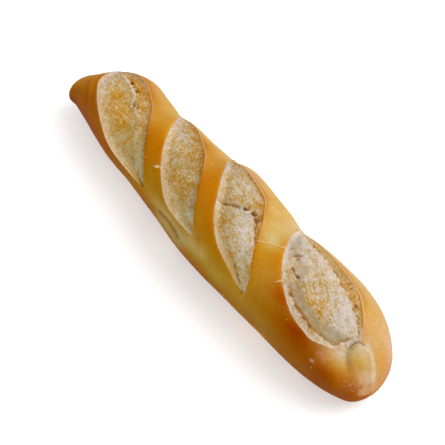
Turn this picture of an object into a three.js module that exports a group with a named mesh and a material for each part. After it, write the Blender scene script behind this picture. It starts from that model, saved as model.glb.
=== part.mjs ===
// A short French stick (demi-baguette) with four slashes, as one closed loaf.
// Millimetres, +Z up. The loaf lies along X: the pinched end at -X, the round end at +X.
// The origin is under the middle of the loaf, on the plane of its flat foot.
import * as THREE from "three";

// ---- driving dimensions -------------------------------------------------------
const LENGTH = 300; // end to end
const HALF = LENGTH / 2;
const HEIGHT_RATIO = 0.8; // crest height over the full width of a section
const WAIST = 0.43; // height of the widest line, as a share of the crest height
const UNDERCUT = 1.12; // how far the round of the belly would reach past the foot
// Half widths from the pinched end to the round end, at equal steps of the end-to-end angle
const HALF_WIDTHS = [0, 10.2, 15.2, 22.2, 26.9, 27.4, 28.2, 29.7, 33.6, 32.7, 31.2, 31.3, 30.8, 27.5, 21.4, 13.7, 0];
// Sideways drift of the middle line at the same steps
const DRIFT = [-5.0, -5.0, -0.8, 3.8, 4.7, 1.8, 1.3, 0.0, 0.3, -1.4, -1.7, -0.5, -0.3, -1.0, -2.3, -3.7, -3.7];
const WIDEST = Math.max(...HALF_WIDTHS);

// The columns of the skin wind round the loaf so that they cross the slashes squarely.
const HELIX = 0.6; // degrees of turn per millimetre
const END_TURN = 1.2, END_START = 105, END_SOFT = 6; // extra turn over the round end
const CREST_CROWD = 0.35; // crowds the columns together over the crest

// Each slash is a lens between two edges. An edge is given by its place along X at
// equal steps of the angle from the upper tip to the lower tip (columns from..to).
// lip: width and fall of the pale cut crust on the far edge. trough: depth and reach
// of the hollow beside it. mound: rise of the crumb. drop: depth of the step under
// the near edge. ear: rise of the near edge.
const SLASHES = [
  { from: -147.2, to: 72.8,
    far: [-127.0, -128.2, -128.9, -128.6, -126.9, -122.4, -110.6, -93.7, -76.2, -55.2, -37.0],
    near: [-127.0, -126.4, -119.3, -96.8, -79.7, -69.0, -59.1, -50.1, -42.0, -37.6, -37.0],
    lip: [1.4, 0.5], trough: [0.9, 7.0], mound: 0.9, drop: 0.9, ear: 0.7 },
  { from: -108.9, to: 93.0,
    far: [-67.0, -65.4, -62.8, -57.8, -52.1, -45.0, -35.5, -24.4, -12.0, 6.4, 19.5],
    near: [-67.0, -57.0, -46.0, -35.0, -22.8, -12.4, -2.7, 5.6, 12.5, 17.1, 19.5],
    lip: [2.0, 0.5], trough: [0.8, 6.0], mound: 0.8, drop: 1.2, ear: 0.8 },
  { from: -70.0, to: 125.0,
    far: [-10.0, -11.0, -9.6, -3.5, 3.7, 12.9, 22.2, 34.9, 50.0, 60.2, 67.5],
    near: [-10.0, -12.0, 4.5, 26.6, 37.6, 45.9, 52.9, 59.8, 65.2, 66.8, 67.5],
    lip: [2.0, 0.6], trough: [1.8, 6.0], mound: 1.2, drop: 2.0, ear: 1.0 },
  { from: -39.9, to: 157.4,
    far: [55.5, 55.4, 56.4, 59.6, 64.6, 71.7, 81.9, 95.3, 109.0, 118.6, 134.5],
    near: [55.5, 62.0, 75.0, 92.0, 109.6, 120.2, 128.4, 132.9, 133.6, 134.2, 134.5],
    lip: [3.2, 0.8], trough: [3.2, 8.0], mound: 1.6, drop: 1.8, ear: 1.0 },
];
const SLANT = 0.62; // a step across a slash over the same step along X
const SHUT = 1.6; // width kept between the two edge lines at a tip
// Hollows where the crust is pinched at an upper tip: x, angle, depth, reach along X, reach in degrees
const PINCHES = [
  [-71, -50, 2.4, 9, 34],
  [-14, -50, 3.2, 9, 34],
  [52, -50, 2.8, 9, 34],
];
// Creases in the crust: depth, half width, then places as x and angle round the loaf
const CREASES = [
  [1.0, 1.9, [[-24, 76], [-12, 80], [-5, 82], [6, 90]]],
  [1.4, 1.7, [[134.5, 27], [138, 32], [142, 40]]],
  [0.7, 1.4, [[133, 5], [138, -2], [141, -26]]],
  [0.8, 1.8, [[-140, 12], [-128, 44], [-120, 56], [-111, 72]]],
];

// ---- resolution ---------------------------------------------------------------
const COLUMNS = 76;
const ACROSS = [0, 0.07, 0.16, 0.3, 0.48, 0.66, 0.82, 0.93, 0.985, 1]; // rings over a slash
const END_STEPS = [9, 8];
const BAND_STEPS = 3;
const EVEN_ROUNDS = 4000, EVEN_PULL = 0.03; // evening out of the lines that are free
const END_POWER = 1.5; // crowds the rings together at the two ends

// ---- helpers ------------------------------------------------------------------
const RAD = Math.PI / 180;
const clamp = (x, a, b) => Math.min(Math.max(x, a), b);
const smooth = (a, b, x) => {
  const t = clamp((x - a) / (b - a), 0, 1);
  return t * t * (3 - 2 * t);
};
const mod = (x, m) => ((x % m) + m) % m;

// a smooth line through equally spaced values, at u from 0 to n - 1
function through(values, u) {
  const n = values.length;
  u = clamp(u, 0, n - 1 - 1e-9);
  const i = Math.floor(u), t = u - i;
  const p1 = values[i], p2 = values[i + 1];
  const p0 = i > 0 ? values[i - 1] : 2 * p1 - p2;
  const p3 = i + 2 < n ? values[i + 2] : 2 * p2 - p1;
  return p1 + 0.5 * t * (p2 - p0 + t * (2 * p0 - 5 * p1 + 4 * p2 - p3 + t * (3 * (p1 - p2) + p3 - p0)));
}

const endTurn = (x) => END_TURN * END_SOFT * Math.log1p(Math.exp((x - END_START) / END_SOFT));

// angle round the loaf, in degrees: 0 at the crest, positive towards -Y
function angleAt(x, column) {
  const c = column - HELIX * x - endTurn(x);
  return c - (CREST_CROWD / RAD) * Math.sin(c * RAD);
}

const alongU = (x) => (Math.acos(clamp(-x / HALF, -1, 1)) / Math.PI) * (HALF_WIDTHS.length - 1);
const halfWidth = (x) => Math.max(through(HALF_WIDTHS, alongU(x)), 0);

// the plain loaf, before the slashes
function body(x, angle) {
  x = clamp(x, -HALF, HALF);
  const a = halfWidth(x);
  const crest = 2 * HEIGHT_RATIO * a, tallest = 2 * HEIGHT_RATIO * WIDEST;
  const waist = (WAIST * (crest + tallest)) / 2;
  const c = Math.cos(angle * RAD), s = Math.sin(angle * RAD);
  const y = through(DRIFT, alongU(x)) - a * s;
  const z = c > 0 ? waist + (1 - WAIST) * crest * c : waist - WAIST * UNDERCUT * crest * Math.pow(-c, 0.8);
  return new THREE.Vector3(x, y, z);
}

function outward(x, angle) {
  const dx = body(x + 0.05, angle).sub(body(x - 0.05, angle));
  const da = body(x, angle + 0.5).sub(body(x, angle - 0.5));
  const n = new THREE.Vector3().crossVectors(dx, da).normalize();
  const top = body(x, 0);
  const heart = new THREE.Vector3(top.x, top.y, 0.45 * top.z);
  return n.dot(body(x, angle).sub(heart)) < 0 ? n.negate() : n;
}

// the two edges of a slash on one column: [far x, near x, share of the way down], or null
// where the column misses the slash
function edges(slash, column) {
  const v = mod(column - slash.from, 360) / (slash.to - slash.from), n = slash.far.length;
  if (v > 1) return null;
  const u = (Math.acos(1 - 2 * v) / Math.PI) * (n - 1);
  const f = through(slash.far, u), e = through(slash.near, u);
  const w = Math.max(e - f, SHUT), mid = (e + f) / 2;
  return [mid - w / 2, mid + w / 2, v];
}

// the relief of a slash dies out just inside its two tips
const fade = (v) => {
  const w = clamp((v - 0.03) / 0.94, 0, 1);
  return Math.pow(4 * w * (1 - w), 0.6);
};

// rise of the crumb, at share r of a slash that is w wide along X
function crumb(slash, v, r, w) {
  const a = r * w * SLANT, b = (1 - r) * w * SLANT;
  const [lipWidth, lipFall] = slash.lip, [depth, reach] = slash.trough;
  let d = -lipFall * smooth(0, lipWidth, a);
  d -= (depth - lipFall) * smooth(lipWidth, lipWidth + 1.2, a) * (1 - smooth(lipWidth + 2.2, lipWidth + reach, a));
  d += (slash.mound + lipFall) * smooth(lipWidth + 1.5, lipWidth + reach + 5, a) * smooth(1, 8, b);
  d -= slash.drop * smooth(0, 0.45, b) * (1 - smooth(1, 6, b));
  d += slash.ear * (1 - smooth(0, 0.45, b));
  return d * fade(v);
}

// rise of the crust beside the slashes; own is the slash that the place is in, or -1
function crust(x, lines, own) {
  let d = 0;
  lines.forEach(([f, e, v], k) => {
    if (k === own || v < 0) return;
    const past = (x - e) * SLANT, before = (f - x) * SLANT;
    if (past >= 0) d += SLASHES[k].ear * fade(v) * Math.exp(-past / 5);
    if (before >= 0) d -= 0.25 * fade(v) * Math.exp(-before / 2);
  });
  return d;
}

function pinch(x, angle) {
  let d = 0;
  for (const [px, pa, depth, rx, ra] of PINCHES) {
    const da = mod(angle - pa + 180, 360) - 180;
    d -= depth * Math.exp(-(((x - px) / rx) ** 2) - (da / ra) ** 2);
  }
  return d;
}

function crease(x, angle) {
  const arc = Math.max(halfWidth(x), 8) * RAD;
  const a = mod(angle + 180, 360) - 180;
  let d = 0;
  for (const [depth, half, line] of CREASES) {
    let near = Infinity;
    for (let i = 0; i + 1 < line.length; i++) {
      const [x0, a0] = line[i], [x1, a1] = line[i + 1];
      const ux = x1 - x0, uy = (a1 - a0) * arc, px = x - x0, py = (a - a0) * arc;
      const t = clamp((px * ux + py * uy) / (ux * ux + uy * uy), 0, 1);
      near = Math.min(near, Math.hypot(px - t * ux, py - t * uy));
    }
    d -= depth * Math.exp(-((near / half) ** 2));
  }
  return d;
}

// ---- the skin: rings along the loaf by columns round it ---------------------------
const rings = []; // rings[i][j] is a point
const columns = Array.from({ length: COLUMNS }, (_, j) => (j * 360) / COLUMNS - 180);
const SPANS = [END_STEPS[0]]; // steps between neighbouring lines
SLASHES.forEach((_, k) => SPANS.push(ACROSS.length - 1, k < SLASHES.length - 1 ? BAND_STEPS : END_STEPS[1]));

// Each column meets two lines per slash. Where it misses the slash its lines are free,
// and they are evened out along the column and with the columns beside it.
function evenLines() {
  const held = columns.map((c) => SLASHES.flatMap((s) => (edges(s, c) ?? [null, null]).slice(0, 2)));
  const total = SPANS.reduce((a, b) => a + b);
  let x = held.map((row) => {
    let sum = 0;
    return row.map((h, m) => {
      sum += SPANS[m];
      return h ?? -HALF + (LENGTH * sum) / total;
    });
  });
  for (let round = 0; round < EVEN_ROUNDS; round++) {
    x = x.map((row, j) =>
      row.map((_, m) => {
        if (held[j][m] !== null) return held[j][m];
        const before = m > 0 ? row[m - 1] : -HALF, after = m + 1 < row.length ? row[m + 1] : HALF;
        const even = (SPANS[m + 1] * before + SPANS[m] * after) / (SPANS[m] + SPANS[m + 1]);
        const beside = (x[(j + 1) % COLUMNS][m] + x[(j + COLUMNS - 1) % COLUMNS][m]) / 2;
        return beside + EVEN_PULL * (even - beside);
      }),
    );
  }
  return x.map((row, j) => SLASHES.map((s, k) => [row[2 * k], row[2 * k + 1], edges(s, columns[j])?.[2] ?? -1]));
}
const lines = evenLines();

function ring(place, own = -1, share = null) {
  rings.push(
    columns.map((c, j) => {
      const x = place(lines[j]);
      const angle = angleAt(x, c);
      let d = crust(x, lines[j], own);
      if (own >= 0 && lines[j][own][2] >= 0) {
        const [f, e, v] = lines[j][own];
        d += crumb(SLASHES[own], v, share(e - f), e - f);
      }
      d += pinch(x, angle) + crease(x, angle);
      const p = body(x, angle).addScaledVector(outward(x, angle), d);
      p.z = Math.max(p.z, 0);
      return p;
    }),
  );
}

for (let i = 1; i < END_STEPS[0]; i++) {
  const t = (i / END_STEPS[0]) ** END_POWER;
  ring((l) => -HALF + (l[0][0] + HALF) * t);
}
SLASHES.forEach((slash, k) => {
  ACROSS.forEach((r, i) => {
    // where the slash is nearly shut the rings are spread evenly
    const share = (w) => {
      const open = smooth(3, 16, w);
      return r * open + ((1 - open) * i) / (ACROSS.length - 1);
    };
    ring((l) => l[k][0] + (l[k][1] - l[k][0]) * share(l[k][1] - l[k][0]), k, share);
  });
  if (k < SLASHES.length - 1) {
    for (let i = 1; i < BAND_STEPS; i++) {
      const t = i / BAND_STEPS;
      ring((l) => l[k][1] + (l[k + 1][0] - l[k][1]) * t);
    }
  }
});
for (let i = 1; i < END_STEPS[1]; i++) {
  const t = (1 - i / END_STEPS[1]) ** END_POWER;
  ring((l) => HALF - (HALF - l[SLASHES.length - 1][1]) * t);
}

const points = [body(-HALF, 0)];
for (const r of rings) points.push(...r);
points.push(body(HALF, 0));
const at = (i, j) => 1 + i * COLUMNS + (j % COLUMNS);
const last = points.length - 1;
const faces = [];
for (let j = 0; j < COLUMNS; j++) {
  faces.push([0, at(0, j + 1), at(0, j)]);
  for (let i = 0; i + 1 < rings.length; i++) {
    // split each cell along its shorter diagonal
    const a = at(i, j), b = at(i, j + 1), c = at(i + 1, j + 1), d = at(i + 1, j);
    if (points[a].distanceTo(points[c]) <= points[b].distanceTo(points[d])) faces.push([a, b, c], [a, c, d]);
    else faces.push([a, b, d], [b, c, d]);
  }
  faces.push([last, at(rings.length - 1, j), at(rings.length - 1, j + 1)]);
}

// faces out: the enclosed volume is positive
let volume = 0;
for (const [a, b, c] of faces) volume += points[a].dot(new THREE.Vector3().crossVectors(points[b], points[c])) / 6;
if (volume < 0) faces.forEach((f) => f.reverse());

const geometry = new THREE.BufferGeometry();
geometry.setAttribute("position", new THREE.Float32BufferAttribute(points.flatMap((p) => [p.x, p.y, p.z]), 3));
geometry.setIndex(faces.flat());
geometry.computeVertexNormals();

const baguette = new THREE.Mesh(
  geometry,
  new THREE.MeshStandardMaterial({ color: 0xc98a3c, roughness: 0.6, metalness: 0 }),
);
baguette.name = "baguette";

const group = new THREE.Group();
group.name = "loaf";
group.add(baguette);

export default group;
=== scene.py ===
"""A short French stick with four slashes: the fine skin, its finish, a pale floor and soft studio light.
Lengths in the shape code are millimetres; Blender objects are in metres."""
import math

import bpy
import numpy as np
from mathutils import Matrix, Vector


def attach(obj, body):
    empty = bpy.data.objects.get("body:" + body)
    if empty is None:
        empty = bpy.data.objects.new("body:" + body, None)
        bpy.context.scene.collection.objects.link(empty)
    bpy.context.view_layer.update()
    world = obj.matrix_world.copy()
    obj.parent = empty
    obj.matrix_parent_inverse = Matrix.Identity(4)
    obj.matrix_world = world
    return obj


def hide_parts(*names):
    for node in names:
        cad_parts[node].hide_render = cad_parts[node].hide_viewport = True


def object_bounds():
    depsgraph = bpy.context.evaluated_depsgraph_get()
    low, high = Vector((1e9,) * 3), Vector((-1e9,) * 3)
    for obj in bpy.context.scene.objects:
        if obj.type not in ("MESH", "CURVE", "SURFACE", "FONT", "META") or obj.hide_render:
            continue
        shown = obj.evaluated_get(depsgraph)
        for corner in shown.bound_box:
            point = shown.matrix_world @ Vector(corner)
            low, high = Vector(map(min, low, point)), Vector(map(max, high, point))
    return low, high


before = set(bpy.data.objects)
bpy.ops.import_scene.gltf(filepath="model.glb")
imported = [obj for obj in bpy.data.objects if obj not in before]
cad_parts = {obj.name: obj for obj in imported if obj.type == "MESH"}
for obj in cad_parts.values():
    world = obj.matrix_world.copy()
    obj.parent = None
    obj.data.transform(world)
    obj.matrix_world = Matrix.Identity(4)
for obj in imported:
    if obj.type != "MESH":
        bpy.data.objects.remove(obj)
cad_lo, cad_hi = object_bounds()

# ======================================================================================
# The plain loaf: the same sizes as the solid that it replaces
# ======================================================================================
LENGTH = 300.0
HALF = LENGTH / 2
HEIGHT_RATIO, WAIST, UNDERCUT = 0.8, 0.43, 1.12
HALF_WIDTHS = [0, 10.2, 15.2, 22.2, 26.9, 27.4, 28.2, 29.7, 33.6, 32.7, 31.2, 31.3, 30.8, 27.5, 21.4, 13.7, 0]
DRIFT = [-5.0, -5.0, -0.8, 3.8, 4.7, 1.8, 1.3, 0.0, 0.3, -1.4, -1.7, -0.5, -0.3, -1.0, -2.3, -3.7, -3.7]
WIDEST = max(HALF_WIDTHS)
HELIX, END_TURN, END_START, END_SOFT, CREST_CROWD = 0.6, 1.2, 105.0, 6.0, 0.35
SLASHES = [
    dict(start=-147.2, end=72.8,
         far=[-127.0, -128.2, -128.9, -128.6, -126.9, -122.4, -110.6, -93.7, -76.2, -55.2, -37.0],
         near=[-127.0, -126.4, -119.3, -96.8, -79.7, -69.0, -59.1, -50.1, -42.0, -37.6, -37.0],
         lip=([1.7, 1.8, 1.9, 2.4, 2.9, 2.9, 2.0], 0.5), trough=(0.7, 8.0), mound=0.8, drop=0.0, ear=0.15),
    dict(start=-108.9, end=93.0,
         far=[-67.0, -65.4, -62.8, -57.8, -52.1, -45.0, -35.5, -24.4, -12.0, 6.4, 19.5],
         near=[-67.0, -57.0, -46.0, -35.0, -22.8, -12.4, -2.7, 5.6, 12.5, 17.1, 19.5],
         lip=([1.6, 2.2, 2.4, 2.2, 1.6], 0.5), trough=(0.8, 6.0), mound=0.8, drop=0.0, ear=0.15),
    dict(start=-70.0, end=125.0,
         far=[-10.0, -11.0, -9.6, -3.5, 3.7, 12.9, 22.2, 34.9, 50.0, 60.2, 67.5],
         near=[-10.0, -12.0, 4.5, 26.6, 37.6, 45.9, 52.9, 59.8, 65.2, 66.8, 67.5],
         lip=([1.4, 2.0, 2.2, 2.2, 2.0], 0.6), trough=(1.2, 6.0), mound=0.7, drop=0.05, ear=0.2),
    dict(start=-39.9, end=157.4,
         far=[55.5, 55.4, 56.4, 59.6, 64.6, 71.7, 81.9, 95.3, 109.0, 118.6, 134.5],
         near=[55.5, 62.0, 75.0, 92.0, 109.6, 120.2, 128.4, 132.9, 133.6, 134.2, 134.5],
         lip=([2.0, 3.2, 4.6], 0.8), trough=(3.2, 8.0), mound=1.6, drop=0.1, ear=0.25),
]
SHUT = 1.6
PINCHES = [(-71, -50, 2.4, 9, 34), (-14, -50, 2.5, 9, 34), (52, -50, 2.1, 9, 34)]

# resolution of the skin: under 200,000 triangles
COLUMNS = 288
ACROSS = [64, 50, 50, 66]  # steps across each slash
BANDS = [21, 21, 21]
ENDS = [26, 27]
END_POWER = 1.5

RAD = math.pi / 180


def smooth(a, b, x):
    t = np.clip((x - a) / (b - a), 0, 1)
    return t * t * (3 - 2 * t)


def mix(a, b, t):
    return a + (b - a) * t


def through(values, u):
    v = np.asarray(values, float)
    n = len(v)
    u = np.clip(u, 0, n - 1 - 1e-9)
    i = np.floor(u).astype(int)
    t = u - i
    p1, p2 = v[i], v[i + 1]
    p0 = np.where(i > 0, v[np.maximum(i - 1, 0)], 2 * p1 - p2)
    p3 = np.where(i + 2 < n, v[np.minimum(i + 2, n - 1)], 2 * p2 - p1)
    return p1 + 0.5 * t * (p2 - p0 + t * (2 * p0 - 5 * p1 + 4 * p2 - p3 + t * (3 * (p1 - p2) + p3 - p0)))


def end_turn(x):
    return END_TURN * END_SOFT * np.logaddexp(0, (x - END_START) / END_SOFT)


def angle_at(x, column):
    c = column - HELIX * x - end_turn(x)
    return c - CREST_CROWD / RAD * np.sin(c * RAD)


def wrap(a):
    return np.mod(np.asarray(a, float) + 180, 360) - 180


def along(x):
    return np.arccos(np.clip(-x / HALF, -1, 1)) / math.pi * (len(HALF_WIDTHS) - 1)


def half_width(x):
    return np.maximum(through(HALF_WIDTHS, along(x)), 0)


def body(x, angle):
    x = np.clip(x, -HALF, HALF)
    a = half_width(x)
    crest, tallest = 2 * HEIGHT_RATIO * a, 2 * HEIGHT_RATIO * WIDEST
    waist = WAIST * (crest + tallest) / 2
    c, s = np.cos(angle * RAD), np.sin(angle * RAD)
    y = through(DRIFT, along(x)) - a * s
    z = np.where(c > 0, waist + (1 - WAIST) * crest * c, waist - WAIST * UNDERCUT * crest * np.abs(c) ** 0.8)
    return np.stack(np.broadcast_arrays(x, y, z), -1)


def outward(x, angle):
    dx = body(x + 0.05, angle) - body(x - 0.05, angle)
    da = body(x, angle + 0.5) - body(x, angle - 0.5)
    n = np.cross(dx, da)
    n /= np.linalg.norm(n, axis=-1, keepdims=True) + 1e-12
    heart = body(x, angle * 0)
    heart[..., 2] *= 0.45
    flip = np.einsum("...i,...i->...", n, body(x, angle) - heart) < 0
    n[flip] *= -1
    return n


def edges(s, column):
    """far x, near x and share of the way down on each column; share is -1 where the column misses the slash"""
    v = np.mod(column - s["start"], 360) / (s["end"] - s["start"])
    hit = v <= 1
    u = np.arccos(np.clip(1 - 2 * v, -1, 1)) / math.pi * (len(s["far"]) - 1)
    f, e = through(s["far"], u), through(s["near"], u)
    w, mid = np.maximum(e - f, SHUT), (e + f) / 2
    return mid - w / 2, mid + w / 2, np.where(hit, v, -1.0)


# ======================================================================================
# Noise that is the same on every run
# ======================================================================================
def _hash(i, j, k, seed):
    h = (i * 374761393 + j * 668265263 + k * 2147483647 + seed * 1274126177) & 0xFFFFFFFF
    h = ((h ^ (h >> 13)) * 1103515245) & 0xFFFFFFFF
    h = ((h ^ (h >> 15)) * 2246822519) & 0xFFFFFFFF
    return h ^ (h >> 16)


GRADS = np.array([(1, 1, 0), (-1, 1, 0), (1, -1, 0), (-1, -1, 0), (1, 0, 1), (-1, 0, 1), (1, 0, -1), (-1, 0, -1),
                  (0, 1, 1), (0, -1, 1), (0, 1, -1), (0, -1, -1), (1, 1, 0), (-1, 1, 0), (0, -1, 1), (0, -1, -1)], float)


def noise(p, size, seed=0):
    """gradient noise, about -0.7 to 0.7, with features of that size in mm"""
    q = p / size
    c = np.floor(q).astype(np.int64)
    f = q - c
    w = f * f * f * (f * (f * 6 - 15) + 10)
    out = np.zeros(len(q))
    for dx in (0, 1):
        for dy in (0, 1):
            for dz in (0, 1):
                g = GRADS[_hash(c[:, 0] + dx, c[:, 1] + dy, c[:, 2] + dz, seed) & 15]
                d = f - (dx, dy, dz)
                k = np.where(dx, w[:, 0], 1 - w[:, 0]) * np.where(dy, w[:, 1], 1 - w[:, 1]) * np.where(dz, w[:, 2], 1 - w[:, 2])
                out += k * np.einsum("ij,ij->i", g, d)
    return out


def layers(p, size, count, seed=0, gain=0.5):
    out, k = 0, 1.0
    for i in range(count):
        out = out + k * noise(p + 17.3 * i, size / 2**i, seed + i)
        k *= gain
    return out


# ======================================================================================
# The grid of the skin
# ======================================================================================
columns = np.arange(COLUMNS) * 360.0 / COLUMNS - 180
own_edges = [edges(s, columns) for s in SLASHES]
spans = np.array([ENDS[0], ACROSS[0], BANDS[0], ACROSS[1], BANDS[1], ACROSS[2], BANDS[2], ACROSS[3], ENDS[1]], float)


def even_lines():
    """Where a column misses a slash its two lines are free, and are evened out along it and with its neighbours."""
    held = np.stack([row for f, e, v in own_edges for row in (np.where(v >= 0, f, np.nan), np.where(v >= 0, e, np.nan))])
    free = np.isnan(held)
    start = -HALF + LENGTH * np.cumsum(spans)[:-1] / spans.sum()
    before_w, after_w = spans[:-1, None], spans[1:, None]
    ends_lo, ends_hi = np.full((1, COLUMNS), -HALF), np.full((1, COLUMNS), HALF)
    x = np.where(free, start[:, None], held)
    # a coarse pass on every fourth column gives the fine one its start
    for step, rounds, pull in ((4, 4000, 0.03), (1, 6000, 0.002)):
        pick = np.arange(0, COLUMNS, step)
        y, h, fr = x[:, pick].copy(), held[:, pick], free[:, pick]
        lo, hi = ends_lo[:, pick], ends_hi[:, pick]
        for _ in range(rounds):
            before, after = np.vstack([lo, y[:-1]]), np.vstack([y[1:], hi])
            even = (after_w * before + before_w * after) / (before_w + after_w)
            beside = (np.roll(y, 1, 1) + np.roll(y, -1, 1)) / 2
            y = np.where(fr, beside + pull * (even - beside), h)
        if step > 1:
            for m in range(len(y)):
                fill = np.interp(np.arange(COLUMNS), np.append(pick, COLUMNS), np.append(y[m], y[m][0]))
                x[m] = np.where(free[m], fill, held[m])
        else:
            x = y
    return x


lines = even_lines()

rows, row_own, row_share = [], [], []


def add_row(x, own=-1, share=None):
    rows.append(x)
    row_own.append(own)
    row_share.append(share if share is not None else np.full(COLUMNS, -1.0))


for i in range(1, ENDS[0]):
    add_row(-HALF + (lines[0] + HALF) * (i / ENDS[0]) ** END_POWER)
for k in range(4):
    f, e = lines[2 * k], lines[2 * k + 1]
    wide = smooth(3, 16, e - f)
    for i in range(ACROSS[k] + 1):
        t = i / ACROSS[k]
        r = mix(t, t - 0.5 * math.sin(2 * math.pi * t) / (2 * math.pi), wide)
        r = np.full(COLUMNS, t) if i in (0, ACROSS[k]) else r
        add_row(f + (e - f) * r, k, r)
    if k < 3:
        for i in range(1, BANDS[k]):
            t = i / BANDS[k]
            add_row(e + (lines[2 * k + 2] - e) * (t - 0.35 * math.sin(2 * math.pi * t) / (2 * math.pi)))
for i in range(1, ENDS[1]):
    add_row(HALF - (HALF - lines[7]) * (1 - i / ENDS[1]) ** END_POWER)

RINGS = len(rows)
X = np.array(rows).ravel()
COL = np.broadcast_to(columns, (RINGS, COLUMNS)).ravel()
OWN = np.repeat(np.array(row_own), COLUMNS)
SHARE = np.array(row_share).ravel()
PHI = angle_at(X, COL)
BASE = body(X, PHI)
NORMAL = outward(X, PHI)
PHI = wrap(PHI)
ARC = np.maximum(half_width(X), 8) * RAD
N = len(X)
held_share = np.stack([np.tile(own_edges[k][2], RINGS) for k in range(4)])
INSIDE = np.zeros(N, bool)
for k in range(4):
    INSIDE |= (OWN == k) & (held_share[k] >= 0)


# ---- distances to lines on the loaf --------------------------------------------------
def on_loaf(line, fine=3.0):
    """a line of (x, angle) places laid on the plain loaf, finely enough to bend with it"""
    pts = []
    for (x0, a0), (x1, a1) in zip(line[:-1], line[1:]):
        n = max(1, int(math.ceil(math.hypot(x1 - x0, (a1 - a0) * 0.5) / fine)))
        for i in range(n):
            pts.append((x0 + (x1 - x0) * i / n, a0 + (a1 - a0) * i / n))
    pts.append(line[-1])
    pts = np.array(pts, float)
    return body(pts[:, 0], pts[:, 1])


def to_line(points, reach=40.0, where=None, signed=False):
    """distance in mm from each vertex to the line; signed: positive on the right-hand side going along it, seen from outside.
    Also how far along the line the nearest place is, in mm."""
    out = np.full(N, reach)
    far_along = np.zeros(N)
    pick = (X > points[:, 0].min() - reach) & (X < points[:, 0].max() + reach)
    if where is not None:
        pick &= where
    idx = np.nonzero(pick)[0]
    a, d = points[:-1], np.diff(points, axis=0)
    length = np.linalg.norm(d, axis=1)
    start = np.concatenate([[0], np.cumsum(length)[:-1]])
    dd = np.maximum((d * d).sum(1), 1e-12)
    for lo in range(0, len(idx), 20000):
        part = idx[lo:lo + 20000]
        v = BASE[part][:, None, :] - a[None]
        t = np.clip(np.einsum("ijk,jk->ij", v, d) / dd, 0, 1)
        gap = v - t[..., None] * d[None]
        g2 = np.einsum("ijk,ijk->ij", gap, gap)
        best = g2.argmin(1)
        r = np.arange(len(part))
        dist = np.sqrt(g2[r, best])
        if signed:
            side = np.einsum("ij,ij->i", np.cross(d[best], NORMAL[part]), gap[r, best])
            dist = np.where(side < 0, -dist, dist)
        out[part] = np.clip(dist, -reach, reach)
        far_along[part] = start[best] + t[r, best] * length[best]
    return out, far_along


def edge_line(s, which):
    u = np.linspace(0, 10, 81)
    v = (1 - np.cos(u / 10 * math.pi)) / 2
    f, e = through(s["far"], u), through(s["near"], u)
    w, mid = np.maximum(e - f, SHUT), (e + f) / 2
    x = mid + (w / 2 if which == "near" else -w / 2)
    return body(x, angle_at(x, s["start"] + (s["end"] - s["start"]) * v))


far_d, near_d = [], []
for s in SLASHES:
    far_d.append(to_line(edge_line(s, "far"))[0])
    near_d.append(to_line(edge_line(s, "near"))[0])
far_d, near_d = np.array(far_d), np.array(near_d)
SIGNED = -np.minimum(far_d, near_d).min(0)
for k in range(4):
    own = INSIDE & (OWN == k)
    SIGNED[own] = np.minimum(far_d[k], near_d[k])[own]
    SIGNED[own & ((SHARE <= 0) | (SHARE >= 1))] = 0.0


def fade(v, power=0.6):
    w = np.clip((v - 0.03) / 0.94, 0, 1)
    return (4 * w * (1 - w)) ** power


def blob(x0, a0, rx, ra, turn=0.0):
    """a soft round patch: centre, half sizes in mm along and across, turned by an angle in degrees"""
    dx, dy = X - x0, wrap(PHI - a0) * ARC
    c, s = math.cos(turn * RAD), math.sin(turn * RAD)
    return np.exp(-(((dx * c + dy * s) / rx) ** 2) - ((-dx * s + dy * c) / ra) ** 2)


# ======================================================================================
# Relief
# ======================================================================================
rise = np.zeros(N)
# painted shade: darkness drawn into holes, cracks and pits, and a painted shadow under the last slash's lip
dark = np.zeros(N)  # holes and deep cracks
mottle = np.zeros(N)  # how strongly the crumb is mottled
flour = np.zeros(N)

q = BASE
coarse = layers(q, 9.0, 2, 11)
lumps = layers(q, 3.2, 2, 21)
grit = layers(q, 1.5, 2, 31)
wobble = noise(q, 5.0, 41)
ragged = 0.55 * noise(q, 2.6, 51) + 0.35 * noise(q, 1.3, 52)

in1, in2, in3, in4 = (INSIDE & (OWN == k) for k in range(4))
v1, v2, v3, v4 = (np.where(INSIDE & (OWN == k), held_share[k], 0) for k in range(4))
lips, beside = [], []
for k, s in enumerate(SLASHES):
    own = INSIDE & (OWN == k)
    v = np.where(own, held_share[k], 0)
    a, b = far_d[k], near_d[k]
    widths, lf = s["lip"]
    lw = through(widths, v * (len(widths) - 1))
    depth, reach = s["trough"]
    F = fade(v)
    if k != 3:
        d = -lf * smooth(0, lw, a)
        d -= (depth - lf) * smooth(lw - 0.3, lw + 1.6, a) * (1 - smooth(lw + 2.2, lw + reach, a))
        d += (s["mound"] + lf) * smooth(lw + 1.5, lw + reach + 5, a) * smooth(0.5, 9, b)
        d -= s["drop"] * smooth(0, 0.6, b) * (1 - smooth(1, 7, b))
        d += s["ear"] * (1 - smooth(0, 1.4, b))
        rise += np.where(own, d * F, 0)
    # the crust beside the slash: raised into an ear past the near edge
    out = (~INSIDE) | (OWN != k)
    v_out = np.where(held_share[k] >= 0, held_share[k], 0)
    past = out & (held_share[k] >= 0) & (X > np.tile(own_edges[k][1], RINGS) - 1e-6)
    rise += np.where(past, s["ear"] * fade(v_out) * np.exp(-b / 5.0), 0)
    lips.append(np.where(own, 1 - smooth(lw * 0.6, lw * 1.6 + 0.3, a + 0.7 * lumps), 0))
    # crumb close to the near edge is painted darker: partly toast, partly painted shade cast by the ear
    beside.append(np.where(own, np.exp(-b / 3.0), 0))

for px, pa, depth, rx, ra in PINCHES:
    rise -= depth * np.exp(-(((X - px) / rx) ** 2) - (wrap(PHI - pa) / ra) ** 2)

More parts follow.
